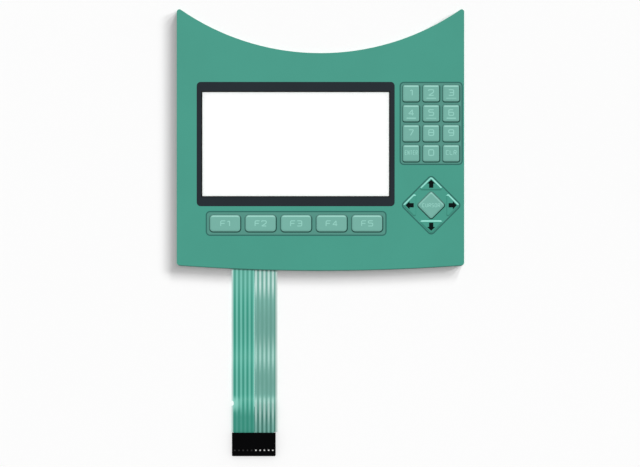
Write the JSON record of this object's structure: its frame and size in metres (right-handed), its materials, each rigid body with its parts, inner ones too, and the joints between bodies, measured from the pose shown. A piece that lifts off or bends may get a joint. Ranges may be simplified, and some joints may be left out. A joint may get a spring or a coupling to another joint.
{
  "type": "membrane keypad",
  "caption": "Flat membrane keypad: embossed number pad, function row and cursor diamond beside a display window, with a flat ribbon tail ending in a pin header socket.",
  "frame": {"origin": "centre of the footprint, tail and connector included, on the surface the keypad lies on", "axes": "+Z out of the front face, +Y from the connector towards the horns of the panel, +X to the right of a reader"},
  "size_m": [0.1724, 0.268, 0.003],
  "materials": {
    "overlay_film": "fine textured polyester, printed teal",
    "border_ink": "dark grey print",
    "outline_ink": "dark teal print",
    "key_ink": "pale teal print",
    "adhesive": "acrylic transfer adhesive",
    "clear_sheet": "clear polyester",
    "spacer_film": "polyester with adhesive on both faces",
    "upper_film": "green dielectric coat on polyester",
    "upper_ink": "silver ink under the green film",
    "lower_film": "green dielectric coat on polyester",
    "silver_ink": "printed silver",
    "liner_paper": "coated release liner",
    "stiffener_film": "polyester stiffener",
    "housing_plastic": "moulded black",
    "dome_steel": "spring steel",
    "contact_metal": "tin plated"
  },
  "bodies": {
    "root": {"overlay": "overlay_film", "border_print": "border_ink", "outline_print": "outline_ink", "key_print": "key_ink", "overlay_adhesive": "adhesive", "display_window": "clear_sheet", "dome_spacer": "spacer_film", "upper_circuit": "upper_film", "upper_conductors": "upper_ink", "circuit_spacer": "spacer_film", "lower_circuit": "lower_film", "lower_conductors": "silver_ink", "rear_adhesive": "adhesive", "release_liner": "liner_paper", "tail_stiffener": "stiffener_film", "connector_housing": "housing_plastic", "dome_1": "dome_steel", "dome_2": "dome_steel", "dome_3": "dome_steel", "dome_4": "dome_steel", "dome_5": "dome_steel", "dome_6": "dome_steel", "dome_7": "dome_steel", "dome_8": "dome_steel", "dome_9": "dome_steel", "dome_enter": "dome_steel", "dome_0": "dome_steel", "dome_clear": "dome_steel", "dome_f1": "dome_steel", "dome_f2": "dome_steel", "dome_f3": "dome_steel", "dome_f4": "dome_steel", "dome_f5": "dome_steel", "dome_centre": "dome_steel", "dome_right": "dome_steel", "dome_up": "dome_steel", "dome_left": "dome_steel", "dome_down": "dome_steel", "contact_1": "contact_metal", "contact_2": "contact_metal", "contact_3": "contact_metal", "contact_4": "contact_metal", "contact_5": "contact_metal", "contact_6": "contact_metal", "contact_7": "contact_metal", "contact_8": "contact_metal", "contact_9": "contact_metal", "contact_10": "contact_metal"}
  },
  "joints": []
}
